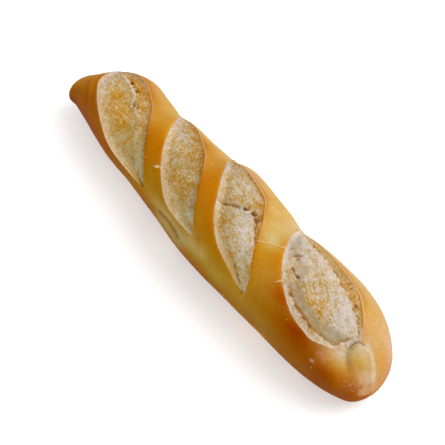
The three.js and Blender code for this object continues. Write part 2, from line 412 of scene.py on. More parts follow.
# ---- last slash: a wide lip with a torn flap, a deep trough, a crown of crumb and a cracked shelf behind it ----
a4, b4 = far_d[3], near_d[3]
LIP4 = [(57, -40), (62, -20), (66, -7), (68.4, -1), (71, 1), (75, 2), (79, 8), (83.5, 11), (86, 15), (85.3, 20), (84.5, 25), (88.8, 30), (92.8, 33), (99.7, 37), (107, 39), (113, 40.5), (117.8, 38.5), (122.5, 38), (125.8, 36), (128.1, 31), (129, 24), (130.1, 18), (131.3, 12), (131.6, 4)]
CROWN4 = [(59, -42), (64.7, -29), (69.2, -20), (72.5, -12.5), (78.3, -6), (83.0, -6), (86.7, 0), (87.6, 9), (89.0, 14), (92.1, 17.5), (98.6, 23), (106.3, 24), (113.3, 26), (117.0, 25), (120.4, 22), (123.5, 19), (126.7, 17), (129.0, 15), (130.8, 10), (131.2, 4)]
CRACK4 = [(61, -41), (65.8, -36), (75, -32), (83.3, -30), (91.6, -26), (96.4, -24), (103.4, -18), (109.8, -16), (114, -14), (119.4, -11), (124.2, -8), (129.5, -1)]
lip_edge, lip_run = to_line(on_loaf(LIP4), where=in4, signed=True)
crown_edge, _ = to_line(on_loaf(CROWN4), where=in4, signed=True)
crack4, crack4_run = to_line(on_loaf(CRACK4), where=in4, signed=True)
E, M, K4 = -lip_edge, -crown_edge, -crack4
E, M, K4 = E + 1.1 * ragged, M + 1.6 * ragged + 0.8 * wobble, K4 + 1.0 * ragged
opened = smooth(70, 82, X)
h_lip = -0.5 * smooth(0, 3.0, a4)
h_trough = -0.8 - 0.9 * opened * (1 - 0.7 * smooth(0.6, 8, E))
h_crown = 0.1 + 1.1 * smooth(-1, 10, M) * smooth(0, 8, -K4)
h_shelf = -0.4 + 0.5 * smooth(0, 4, K4)
h = mix(h_lip, h_trough, smooth(-0.2, 0.9, E))
h = mix(h, h_crown, smooth(-4.0, 2.0, M))
h = mix(h, h_shelf, smooth(-0.3, 0.9, K4))
h -= s["drop"] * smooth(0, 0.5, b4) * (1 - smooth(0.8, 4, b4))
h += s["ear"] * (1 - smooth(0, 1.4, b4))
rise += np.where(in4, h * fade(v4, 0.5), 0)

# ---- first slash: a pale ridge, with the crumb torn open under it ----
RIDGE1 = [(-122, -16), (-113.7, -9), (-106.9, -4), (-98, -4), (-92.1, -1), (-86.7, 8), (-79.8, 12), (-73.3, 17), (-67, 26)]
ridge1, ridge1_run = to_line(on_loaf(RIDGE1), where=in1, signed=True)
R1 = ridge1 + 1.2 * ragged
ends1 = smooth(0, 12, ridge1_run) * (1 - smooth(46, 62, ridge1_run))
rise += np.where(in1, ends1 * (0.35 * np.exp(-((R1 + 0.5) / 1.9) ** 2) - 0.55 * smooth(-0.8, 1.2, R1) * np.exp(-np.abs(R1) / 6)), 0)

# ---- third slash: torn across, with the lower half pushed up over the upper ----
TEAR3 = [(14, 20), (18.5, 14), (22.3, 10), (25.5, 6), (29, 4.5), (32, 3.5), (34.2, 1.5), (36, -1.5), (38, -2.5), (41.2, -2), (44, 2)]
SIDE3 = [(37, -1), (41.8, 3), (46.5, 9), (51.5, 17), (56.4, 28), (61, 40), (64, 50)]
tear3, tear3_run = to_line(on_loaf(TEAR3), where=in3, signed=True)
side3, side3_run = to_line(on_loaf(SIDE3), where=in3, signed=True)
T3 = tear3 + 0.9 * ragged
S3 = -side3 + 0.8 * ragged
across3 = smooth(0, 3, tear3_run) * (1 - smooth(31, 36, tear3_run) * 0.6)
lower = smooth(0.0, 2.4, T3)
rise += np.where(in3, 0.6 * lower * smooth(2.5, 7, far_d[2]) * (1 - smooth(-0.8, 0.8, S3)) * fade(held_share[2].clip(0), 0.7), 0)
rise -= np.where(in3, 0.5 * np.exp(-np.maximum(-T3, 0) / 3.0) * (1 - lower) * across3 * smooth(1.0, 4.0, far_d[2]), 0)

# holes, pits and cracks: (slash, half width, depth, how broken up, how it fades in along its length, how dark the
# painted shade in it is, line)
CRACKS = [
    (0, 0.45, 1.1, 0.0, 1, 0.9, [(-104.0, -10), (-101.6, -8.5)]),
    (0, 0.4, 0.8, 0.7, 1, 0.5, [(-100.5, -8), (-96.6, -6), (-94.2, -7)]),
    (0, 0.5, 1.0, 0.0, 1, 0.9, [(-95.2, -7), (-93.4, -9)]),
    (0, 0.45, 1.0, 0.3, 1, 0.7, [(-86.2, 4), (-83.2, 9)]),
    (0, 0.35, 0.8, 0.0, 1, 0.6, [(-81.2, 7), (-80.4, 7)]),
    (0, 0.45, 0.6, 0.85, 12, 0.30, [(-66, 56), (-54.8, 59), (-46.8, 64)]),
    (0, 0.45, 0.9, 0.3, 4, 0.65, [(-47, 67), (-42, 71), (-38, 74)]),
    (1, 0.3, 0.5, 1.0, 4, 0.3, [(-37, -6), (-33, -16), (-22, -16), (-10, -5)]),
    (2, 0.5, 1.2, 0.3, 3, 0.50, [(17.5, 15), (18.5, 14), (22.3, 10), (25.5, 6), (28, 4.2)]),
    (2, 1.05, 1.4, 0.0, 1, 0.95, [(29.8, 0.8), (31.4, -0.8)]),
    (2, 1.15, 1.5, 0.0, 1, 0.95, [(34.4, -3.2), (36.2, -4.4)]),
    (2, 1.6, 1.7, 0.2, 1, 0.82, [(38.4, -3.6), (40.8, -1.6)]),
    (2, 0.45, 0.6, 0.0, 1, 0.60, [(43.6, 4), (44.4, 5.5)]),
    (2, 0.45, 0.6, 0.6, 2, 0.40, [(42.6, 1), (46.5, 8), (51.5, 16)]),
    (2, 0.4, 0.6, 0.85, 4, 0.25, [(37, 34), (40.3, 38), (44, 42), (50.7, 48)]),
    (2, 0.4, 0.8, 0.6, 2, 0.35, [(50, 47), (55.9, 54), (59.4, 58), (63.4, 62)]),
    (2, 0.4, 0.5, 0.9, 2, 0.30, [(3.7, -8), (8.6, -4), (13.3, 2), (16.8, 8)]),
    (2, 0.3, 0.5, 1.0, 2, 0.30, [(-6, -31), (2, -33), (10, -34), (20, -32), (28, -26)]),
    (3, 0.30, 0.6, 0.2, 1, 0.60, [(72.0, -2), (73.3, -6), (75.3, -8.5)]),
    (3, 0.42, 0.6, 0.0, 1, 0.75, [(75.5, -2.6), (75.8, -3.6)]),
    (3, 0.45, 0.6, 0.0, 1, 0.55, [(66.9, -7.6), (67.4, -8.4)]),
    (3, 0.48, 1.0, 0.1, 1, 0.78, [(77.9, 7.6), (80.8, 10.0)]),
    (3, 0.50, 1.0, 0.1, 1, 0.75, [(82.4, 11.0), (84.8, 11.4)]),
    (3, 0.45, 0.7, 0.0, 1, 0.50, [(84.8, 25.4), (85.4, 26.6)]),
    (3, 0.45, 0.7, 0.0, 1, 0.50, [(88.4, 29.4), (89.2, 30.6)]),
    (3, 0.4, 0.6, 0.8, 2, 0.35, [(119, -2), (121, 3), (122.5, 8)]),
    (3, 0.5, 1.0, 0.5, 2, 0.50, [(133, 6), (133.4, 12), (133.8, 18)]),
]
for n, (k, half, depth, broken, fade_in, darkness, line) in enumerate(CRACKS):
    own = INSIDE & (OWN == k)
    d, run = to_line(on_loaf(line), reach=8, where=own)
    gate = mix(1.0, smooth(-0.10, 0.18, noise(q, 2.6, 71 + n) + 0.5 * noise(q, 1.2, 271 + n)), broken)
    wide = half * (1 + 0.5 * noise(q, 3.0, 171 + n))
    g = np.where(own, np.exp(-(((d + 0.45 * ragged) / wide) ** 2)) * gate * smooth(-0.8, fade_in, run), 0)
    rise -= depth * g
    dark = np.maximum(dark, darkness * g)

# strands of crumb, straws and curled edges: (slash, half width, height, line)
STRANDS = [
    (0, 0.50, 0.40, [(-94.4, 18), (-95.3, 6)]),
    (0, 0.50, 0.40, [(-65.5, 50), (-64.7, 41), (-64.5, 32)]),
    (0, 0.45, 0.50, [(-102.5, -11), (-98, -11), (-94.6, -13), (-92.6, -14), (-91.2, -10)]),
    (0, 0.45, 0.45, [(-89, 0), (-87.4, -5), (-84.5, -5)]),
    (0, 0.40, 0.35, [(-82, 2), (-79, 1)]),
    (2, 0.45, 0.6, [(28.2, 6.2), (29.6, 0.4)]),
    (2, 0.45, 0.6, [(33.0, 3.0), (34.2, -2.4)]),
    (2, 0.40, 0.5, [(37.2, 0.5), (37.8, -4)]),
]
strands = np.zeros(N)
straws = np.zeros(N)
for n, (k, half, height, line) in enumerate(STRANDS):
    own = INSIDE & (OWN == k)
    d, run = to_line(on_loaf(line), reach=6, where=own)
    g = np.where(own, np.exp(-(((d + 0.2 * ragged) / half) ** 2)), 0)
    rise += height * g
    if k == 0:
        straws = np.maximum(straws, g)
    else:
        strands = np.maximum(strands, g)

# the last slash: the ragged drop under the lip, the holes along the crown's back, pits in the shelf, with painted
# shadow under the lip and painted shade in the holes and pits
under_lip = np.where(in4, np.exp(-((E - 0.5) / (0.9 + 0.6 * noise(q, 4.0, 98))) ** 2) * smooth(82, 90, X) * (0.8 + 0.6 * noise(q, 3.0, 91)), 0).clip(0)
holes4 = np.where(in4, np.exp(-((K4 - 0.2) / (0.6 + 0.6 * noise(q, 4.0, 94))) ** 2) * smooth(-0.02, 0.22, noise(q, 3.1, 92) + 0.6 * noise(q, 1.3, 99)) * smooth(0, 8, crack4_run), 0)
pits4 = np.where(in4, smooth(0.20, 0.34, noise(q, 2.0, 95)) * smooth(0.4, 1.2, K4) * smooth(0.5, 1.4, b4) * (1 - 0.8 * smooth(1.2, 3.0, K4) * (1 - smooth(92, 104, X))), 0)
lip_gate = np.where(in4, smooth(82, 90, X) * (1 - smooth(129, 131, X)) * (1 - 0.35 * smooth(110, 120, X)), 0)
lip_shadow_core = np.exp(-((E - 0.3) / 0.45) ** 2) * (0.70 + 1.0 * noise(q, 3.0, 91)).clip(0, 1)
lip_shadow_halo = np.exp(-((E - 0.9) / (1.0 + 0.7 * noise(q, 4.0, 98))) ** 2)
dark = np.maximum.reduce([dark, lip_gate * 0.92 * lip_shadow_core, lip_gate * 0.42 * lip_shadow_halo, 0.85 * holes4, 0.70 * pits4])
rise -= 0.5 * under_lip + 1.2 * holes4 + 0.5 * pits4
# pits in the toasted strip of the third slash and in the torn part of the first, painted dark for the shade in them
pits3 = np.where(in3, smooth(0.24, 0.38, noise(q, 1.9, 96)) * np.exp(-near_d[2] / 3.0) * (1 - smooth(0.4, 0.55, v3)), 0)
pits1 = np.where(in1, smooth(0.24, 0.38, noise(q, 2.1, 97)) * smooth(0.5, 2, R1) * np.exp(-np.abs(R1) / 6) * ends1, 0)
dark = np.maximum.reduce([dark, 0.35 * pits3, 0.40 * pits1])
rise -= 0.4 * pits3 + 0.4 * pits1

# the crumb is rough all over; the lip less so
crumb_in = smooth(0.1, 1.0, SIGNED)
lip = np.maximum.reduce(lips[:3] + [np.where(in4, 1 - smooth(-0.3, 0.5, E), 0)])
rise += crumb_in * ((1 - 0.6 * lip) * (0.30 * lumps + 0.20 * grit) + 0.40 * coarse)
# fine strands lying in the trough of the last slash
strand = noise(np.stack([X * 0.35 + q[:, 1] * 0.94, X * 0.94 - q[:, 1] * 0.35, q[:, 2]], -1) * (0.45, 2.2, 1.0), 2.4, 83)
rise += np.where(in4, 0.3 * strand * smooth(-0.2, 0.8, E) * (1 - smooth(-2, 0, M)), 0)

# creases and ridges in the crust: depth (negative is a ridge), half width, line
CREASES = [
    (0.9, 1.7, [(-24, 83), (-15.3, 80), (-8.9, 78), (-4.5, 76.5), (-0.7, 77), (2.2, 78.5), (6.6, 82), (9, 84)]),
    (-0.5, 3.0, [(-26, 76), (-16, 72), (-8, 70), (1.9, 70), (10, 73), (16, 77)]),
    (0.75, 1.3, [(133.0, 8), (133.3, 16), (134.1, 25), (135.5, 30), (137.7, 34), (140.0, 38)]),
    (0.4, 2.0, [(140, 40), (143, 47), (146, 56)]),
    (0.6, 1.1, [(133.2, 5), (134.9, 3), (136.1, 0), (137.0, -2)]),
    (-0.20, 1.8, [(139.5, -2), (142.5, -5), (145.0, -4), (147.1, 0), (148.6, 3), (149.2, 21)]),
    (0.7, 1.4, [(-137.5, 0), (-135.7, 21), (-127.2, 44), (-122.3, 56), (-118.3, 66), (-114, 74)]),
    (1.0, 1.7, [(-138.5, -18), (-137.5, -2), (-136.6, 10)]),
    (-0.35, 1.7, [(-132.5, 6), (-131.0, 18), (-125.0, 34), (-120.5, 46)]),
    (0.4, 1.3, [(-123.2, 30), (-119.3, 38.5), (-115.8, 48), (-112.0, 58)]),
    (0.5, 0.8, [(18.8, 62), (22.0, 58.5), (23.8, 59), (24.1, 63)]),
    (0.5, 0.7, [(66, 60), (66.5, 67), (67, 74)]),
    (-0.25, 0.7, [(50, 16), (52, 14), (58, 5), (66, -3)]),
    (-0.7, 1.0, [(-36.6, 41), (-32.5, 36.5)]),
    (-0.4, 0.7, [(79, 30.5), (81.3, 26)]),
]
for depth, half, line in CREASES:
    d, run = to_line(on_loaf(line), reach=12)
    total = run.max()
    ends = smooth(0, 2.5, run + 0.8) * (1 - smooth(total - 2.5, total, run) * 0.7)
    rise -= depth * np.exp(-(((d + 0.25 * wobble) / half) ** 2)) * ends * (1 - crumb_in)
pad_out = (((X - 139.5) / 6.4) ** 2 + (wrap(PHI - 12) * ARC / 7.0) ** 2) ** 2
pad = np.exp(-pad_out) * (1 - crumb_in)
rise -= 0.35 * pad * smooth(-14, 12, PHI)
rise += 0.7 * blob(131, 47, 9, 8) * (1 - crumb_in)  # the lobe beside the pad
for fx, fa in ((-13.5, -52), (55.5, -44)):  # a torn corner of crust at the head of the two nearest slashes
    rise += 1.0 * blob(fx, fa, 2.2, 1.4)
# soft unevenness of the baked skin
skin = 1 - crumb_in
rise += skin * (0.22 * layers(q, 19.0, 2, 101) + 0.06 * noise(q, 4.0, 105) + 0.02 * noise(q, 1.8, 106)) * smooth(0, 6, BASE[:, 2])

# ---- move the skin -------------------------------------------------------------------
vertices = BASE + NORMAL * rise[:, None]
# the crumb runs a little way in under the near edge's ear
for k in range(4):
    own = INSIDE & (OWN == k) & (SHARE > 0) & (SHARE < 1)
    grid = BASE.reshape(RINGS, COLUMNS, 3)
    nxt = np.zeros_like(grid)
    nxt[:-1] = grid[1:] - grid[:-1]
    nxt = nxt.reshape(-1, 3)
    nxt /= np.linalg.norm(nxt, axis=1, keepdims=True) + 1e-9
    push = 0.15 * np.exp(-near_d[k] / 0.6) * fade(held_share[k].clip(0)) * smooth(0, 5, far_d[k])
    vertices += np.where(own, push, 0)[:, None] * nxt
vertices[:, 2] = np.maximum(vertices[:, 2], 0)
lo, hi = np.array(cad_lo) * 1000, np.array(cad_hi) * 1000
vertices = np.clip(vertices, lo + 0.02, hi - 0.02)
vertices[:, 2] = np.where(BASE[:, 2] <= 0, 0, vertices[:, 2])

poles = np.array([body(np.array(-HALF), np.array(0.0)), body(np.array(HALF), np.array(0.0))])
poles[:, 0] = np.clip(poles[:, 0], lo[0] + 0.02, hi[0] - 0.02)

# ======================================================================================
# Colour
# ======================================================================================
def linear(*srgb):
    c = np.array(srgb, float) / 255
    return np.where(c <= 0.04045, c / 12.92, ((c + 0.055) / 1.055) ** 2.4)


def mixed(layers_of_paint):
    """colours on a scale of 255, each laid on by its field"""
    return sum(f[:, None] * np.array(c, float) for f, c in layers_of_paint)


# ---- crust: how much of each adds to red, green and blue ----
# painted by side: the upper side toward the key lamp (shoulder) paler, partly paler bake and partly a painted
# highlight; the lower side turned from it (flank, skirt) darker, partly deeper bake near the base and partly painted
# shade
shoulder = 1 - smooth(-55, 15, PHI)
flank = smooth(25, 65, PHI)
skirt = smooth(66, 100, PHI)
far_third = smooth(-55, -115, X)
near_third = smooth(60, 115, X)
glow, low_edge, before_edge, thin_edge = np.zeros(N), np.zeros(N), np.zeros(N), np.zeros(N)
near_edge_rim_and_shade = np.zeros(N)
for k, s in enumerate(SLASHES):
    v = held_share[k].clip(0)
    outside = (held_share[k] >= 0) & ~((OWN == k) & INSIDE)
    past = outside & (X > np.tile(own_edges[k][1], RINGS) - 1e-6)
    before = outside & (X < np.tile(own_edges[k][0], RINGS) + 1e-6)
    F = fade(v, 0.8)
    glow += np.where(past, F * np.exp(-near_d[k] / 3.0) * (1 - smooth(0.45, 0.75, v)), 0)
    low_edge += np.where(past, F * np.exp(-near_d[k] / 3.0) * smooth(0.45, 0.75, v), 0)
    before_edge += np.where(before, F * np.exp(-far_d[k] / 7.0), 0)
    thin_edge += np.where(before, F * np.exp(-far_d[k] / 1.6), 0)
    # along the upper part of each near edge: the crust's rim is drawn pale, partly a painted highlight, and the crumb
    # beside it takes painted shade from the ear
    near_edge_rim_and_shade = np.maximum(near_edge_rim_and_shade, np.where(held_share[k] >= 0, smooth(4, 1, near_d[k]) * smooth(2, 6, far_d[k]) * (1 - smooth(0.45, 0.7, v)), 0))

ring_d = np.exp(-((to_line(on_loaf([(139.5, -2), (142.5, -5), (145.0, -4), (147.1, 0), (148.6, 3), (149.2, 21)]), reach=12)[0] / 2.0) ** 2))
PAINT = [
    (np.ones(N), (192, 136, 52)),  # all over
    # upper side toward the lamp: paler bake and a painted highlight; lower side turned from it: deeper bake and painted
    # shade
    (shoulder, (-4, 15, 34)),
    (flank, (-16, -10, -17)),
    (skirt, (-25, -31, -18)),
    (far_third, (-2, -10, -10)),
    (near_third, (4, 23, 77)),
    (flank * far_third, (-9, -11, 13)),
    (flank * near_third, (-29, -68, -111)),
    (skirt * near_third, (19, 34, 32)),
    (shoulder * near_third, (-5, -28, -51)),
    (smooth(-126, -146, X), (-9, -4, 12)),
    (glow, (11, 2, 5)),
    (low_edge, (-16, -35, -52)),
    # before a far edge: deeper bake, partly painted shade on the crust sloping down to the lip
    (before_edge, (-17, -39, -67)),
    (thin_edge, (33, 35, 47)),
    (blob(-52, 25, 12, 14), (1, -8, -11)),  # deeper bake on the belts between the slashes
    (blob(0, 18, 10, 14), (2, -4, -1)),
    (blob(62, 30, 14, 14), (12, 13, 3)),
    (blob(-6, 83, 15, 3.5), (9, 33, 52)),  # the soft, pale wrinkle
    (blob(-6, 71, 20, 4), (5, 29, 62)),
    (blob(12, 77, 7, 4), (1, 18, 46)),
    (blob(24, 67, 5, 4), (-16, -40, -55)),
    (blob(58, 2, 7, 5), (3, 31, 57)),
    (blob(36, -27, 8, 4), (13, 22, 30)),
    (blob(-30, -34, 8, 5), (-3, -11, -17)),
    (blob(134, 62, 6, 6), (3, -15, -3)),
    (blob(127, 58, 6, 6), (6, 4, 3)),
    (blob(140, 62, 6, 8), (19, 33, 88)),
    (blob(146, 75, 5, 10), (-1, 19, 34)),
    (blob(146, 35, 5, 9), (13, -7, -35)),
    (blob(24, 68, 8, 5), (22, 56, 87)),
    (blob(131, 47, 8, 7), (30, 47, 54)),  # the round end
    (blob(139, 62, 9, 10), (-3, -7, -86)),
    (blob(147, 70, 9, 16), (2, -22, -10)),
    (pad * np.clip((X - 139.5) / 6, -1, 1), (6, -13, -26)),
    (pad * np.clip(wrap(PHI - 12) / 20, -1, 1), (-21, -34, -72)),
    (pad, (-4, 1, -20)),
    (blob(104, 58, 22, 8), (0, -5, -7)),
    (blob(141, -20, 9, 7), (-2, -4, -27)),
    (blob(-132, 66, 14, 10), (-4, -13, -44)),
    (blob(-92, 80, 28, 6), (-11, -20, -27)),
    (blob(-48, -12, 12, 10), (15, 31, 32)),
    (blob(8, -24, 10, 10), (-24, -6, 76)),
    (blob(54, -16, 11, 11), (7, 26, 43)),
    (blob(62, -44, 12, 12), (-1, 15, 49)),
    (blob(122, -24, 12, 10), (9, 5, -19)),
    (blob(147, 8, 5, 12), (7, -11, -46)),
    (blob(134, 84, 14, 8), (-13, -7, 29)),
    (blob(86, 84, 26, 8), (-3, 12, 23)),
    (blob(40, 78, 18, 8), (-1, 14, 17)),
    (glow * smooth(-8, -32, PHI), (-43, -70, -85)),
    (blob(46, -12, 8, 6), (1, 7, 5)),
    (blob(68, 24, 6, 7), (-3, -3, 1)),
    (blob(88, 36, 9, 5), (-13, -41, -43)),
    (blob(108, 52, 9, 4), (-7, -29, -28)),
    (ring_d, (-23, -17, -17)),
    (blob(146.5, 22, 4.5, 8), (-30, 17, 71)),
    (blob(126.5, 49.5, 5, 2.6), (-2, -31, -55)),
    (blob(122.8, 67, 1.8, 1.4), (-1, 2, -4)),
    (blob(131, 28, 5, 3), (-9, 22, 53)),
    (blob(149.5, 27, 1.4, 2.2), (7, -1, -12)),
    (blob(149.3, 66, 1.4, 3.5), (24, 47, 65)),
    (blob(112, -45, 24, 14), (-3, 4, -12)),
]
paint = mixed(PAINT)
# the underside is darker and dull where it sat on the tray; the far side darkens towards it as the near side does
under = smooth(24, 4, BASE[:, 2]) * smooth(75, 110, np.abs(PHI))
paint = mix(paint, np.array([150.0, 92.0, 30.0]), (0.75 * under * smooth(100, 125, np.abs(PHI)))[:, None])
paint += (smooth(-55, -95, PHI) * (1 - under))[:, None] * np.array([-10.0, -24.0, -30.0])
paint += blob(2, 92, 14, 4.5)[:, None] * np.array([9.0, 24.0, 38.0])
paint += blob(8, 90, 6, 5)[:, None] * np.array([5.0, 16.0, 24.0]) + blob(-14, 93, 6, 5)[:, None] * np.array([3.0, 16.0, 22.0])
paint += blob(-95, 82, 13, 8)[:, None] * np.array([9.0, 11.0, -6.0])
below = smooth(85, 120, np.abs(PHI))
paint += (below * (layers(q, 26.0, 2, 131) + 0.35 * noise(q, 5.0, 134)))[:, None] * np.array([46.0, 52.0, 44.0])
# broad painted shade along the wrinkle's crease, the seam at the round end and the creases of the pinched end, and a
# painted highlight along the raised ridge between the pinched end's creases
for line, half, colour in (
        ([(-15.3, 80), (-8.9, 78), (-4.5, 76.5), (-0.7, 77), (2.2, 78.5), (6.6, 82)], 1.3, (-24, -32, -34)),
        ([(133.3, 16), (134.1, 25), (135.5, 30), (137.7, 34), (140.0, 38)], 1.5, (-14, -20, -34)),
        ([(-137.0, 6), (-135.7, 21), (-127.2, 44), (-122.3, 56), (-118.3, 66)], 1.4, (-8, -6, -2)),
        ([(-131.0, 14), (-126.5, 30), (-122.0, 42)], 1.7, (8, 11, 9)),
        ([(-123.2, 30), (-119.3, 38.5), (-115.8, 48), (-112.0, 58)], 1.3, (-7, -5, -2))):
    d, _ = to_line(on_loaf(line), reach=8)
    paint += (np.exp(-(((d + 0.2 * wobble) / half) ** 2)))[:, None] * np.array(colour, float)
# fine lines, thinner than the mesh: how pale (1) or dark (0) each is drawn, how strongly, its half width in mm, the
# line. The dark ones are painted shade in creases, seams, slits and cracks; the pale ones are flour, pale crust and
# strands
FINE = [
    (1.0, 0.18, 1.6, [(142.0, -5), (145.0, -4.5), (147.1, -1), (148.4, 2)]),
    (0.20, 0.55, 0.40, [(133.2, 14), (134.1, 25), (135.5, 30), (137.7, 34), (140.0, 38)]),
    (0.0, 0.75, 0.40, [(132.9, 7), (133.0, 13), (133.2, 18), (133.7, 22), (134.1, 26)]),
    (0.0, 0.65, 0.35, [(133.2, 5), (134.9, 3), (136.1, 0), (137.0, -2)]),
    (0.25, 0.45, 0.22, [(138.2, -6), (139.7, -12), (140.5, -22)]),
    (0.0, 0.50, 0.50, [(21.8, 58.6), (23.2, 58.6), (24.0, 60.6)]),
    (0.95, 0.50, 0.25, [(50, 16), (52, 14), (58, 5), (66, -3)]),
    (0.9, 0.35, 0.25, [(66.5, 63), (66.5, 67), (67, 74)]),
    (1.0, 0.85, 0.90, [(-35.3, 39.4), (-33.8, 37.8)]),
    (0.9, 0.75, 0.45, [(79, 30.5), (81.3, 26)]),
    # in the crumb
    (0.15, 0.6, 0.40, [(78.4, 8.0), (81.8, 10.6), (84.6, 11.4)]),
    (0.15, 0.7, 0.30, [(72.3, -1), (73.5, -5), (75.4, -10)]),
    (1.0, 0.62, 0.30, [(-94.2, 19), (-95.4, 5)]),
    (1.0, 0.62, 0.30, [(-65.6, 51), (-64.7, 41), (-64.4, 31)]),
    (0.05, 0.85, 0.40, [(17.5, 15), (18.5, 14), (22.3, 10), (25.5, 6), (28, 4.6)]),
    (0.05, 0.65, 0.42, [(29.6, 1.4), (31.8, -0.6)]),
    (0.05, 0.75, 0.50, [(34.6, -3.0), (38, -4.0), (41.2, -1.6)]),
    (0.05, 0.6, 0.40, [(41.2, -2), (43, 2), (46.5, 8), (51.5, 16)]),
    (0.05, 0.42, 0.32, [(37, 34), (40.3, 38), (44, 42), (50.7, 48)]),
    (0.0, 0.62, 0.35, [(50, 47), (55.9, 54), (59.4, 58), (63.4, 62)]),
    (0.0, 0.65, 0.40, [(-50, 65), (-47, 67), (-42, 71), (-38, 74)]),
    (0.1, 0.45, 0.35, [(-66, 56), (-54.8, 59), (-50, 63)]),
    (0.1, 0.60, 0.45, [(70, -34), (83.3, -30), (91.6, -26), (96.4, -24), (103.4, -18), (109.8, -16), (114, -14), (119.4, -11), (124.2, -8), (129.5, -1)]),
    (0.05, 0.65, 0.40, [(-104.6, -10), (-100.5, -8), (-96.6, -6), (-93.4, -8)]),
    (0.05, 0.60, 0.40, [(-87, 3), (-83.2, 9), (-80.4, 8)]),
]
fine_d, fine_pale, fine_on, fine_half = np.full(N, 8.0), np.full(N, 0.5), np.zeros(N), np.full(N, 0.4)
for pale, strength, half, line in FINE:
    d, run = to_line(on_loaf(line), reach=6.0, signed=True)
    nearer = np.abs(d) < np.minimum(np.abs(fine_d), 5.9)
    fine_d, fine_pale, fine_half = np.where(nearer, d, fine_d), np.where(nearer, pale, fine_pale), np.where(nearer, half, fine_half)
    fine_on = np.where(nearer, strength * (np.abs(d) < 1.5 * half + 1.6), fine_on)
whole_paint = paint
paint = np.clip(paint, (40, 10, 0), (250, 235, 215))
rgb = (paint / 255) ** 2.2

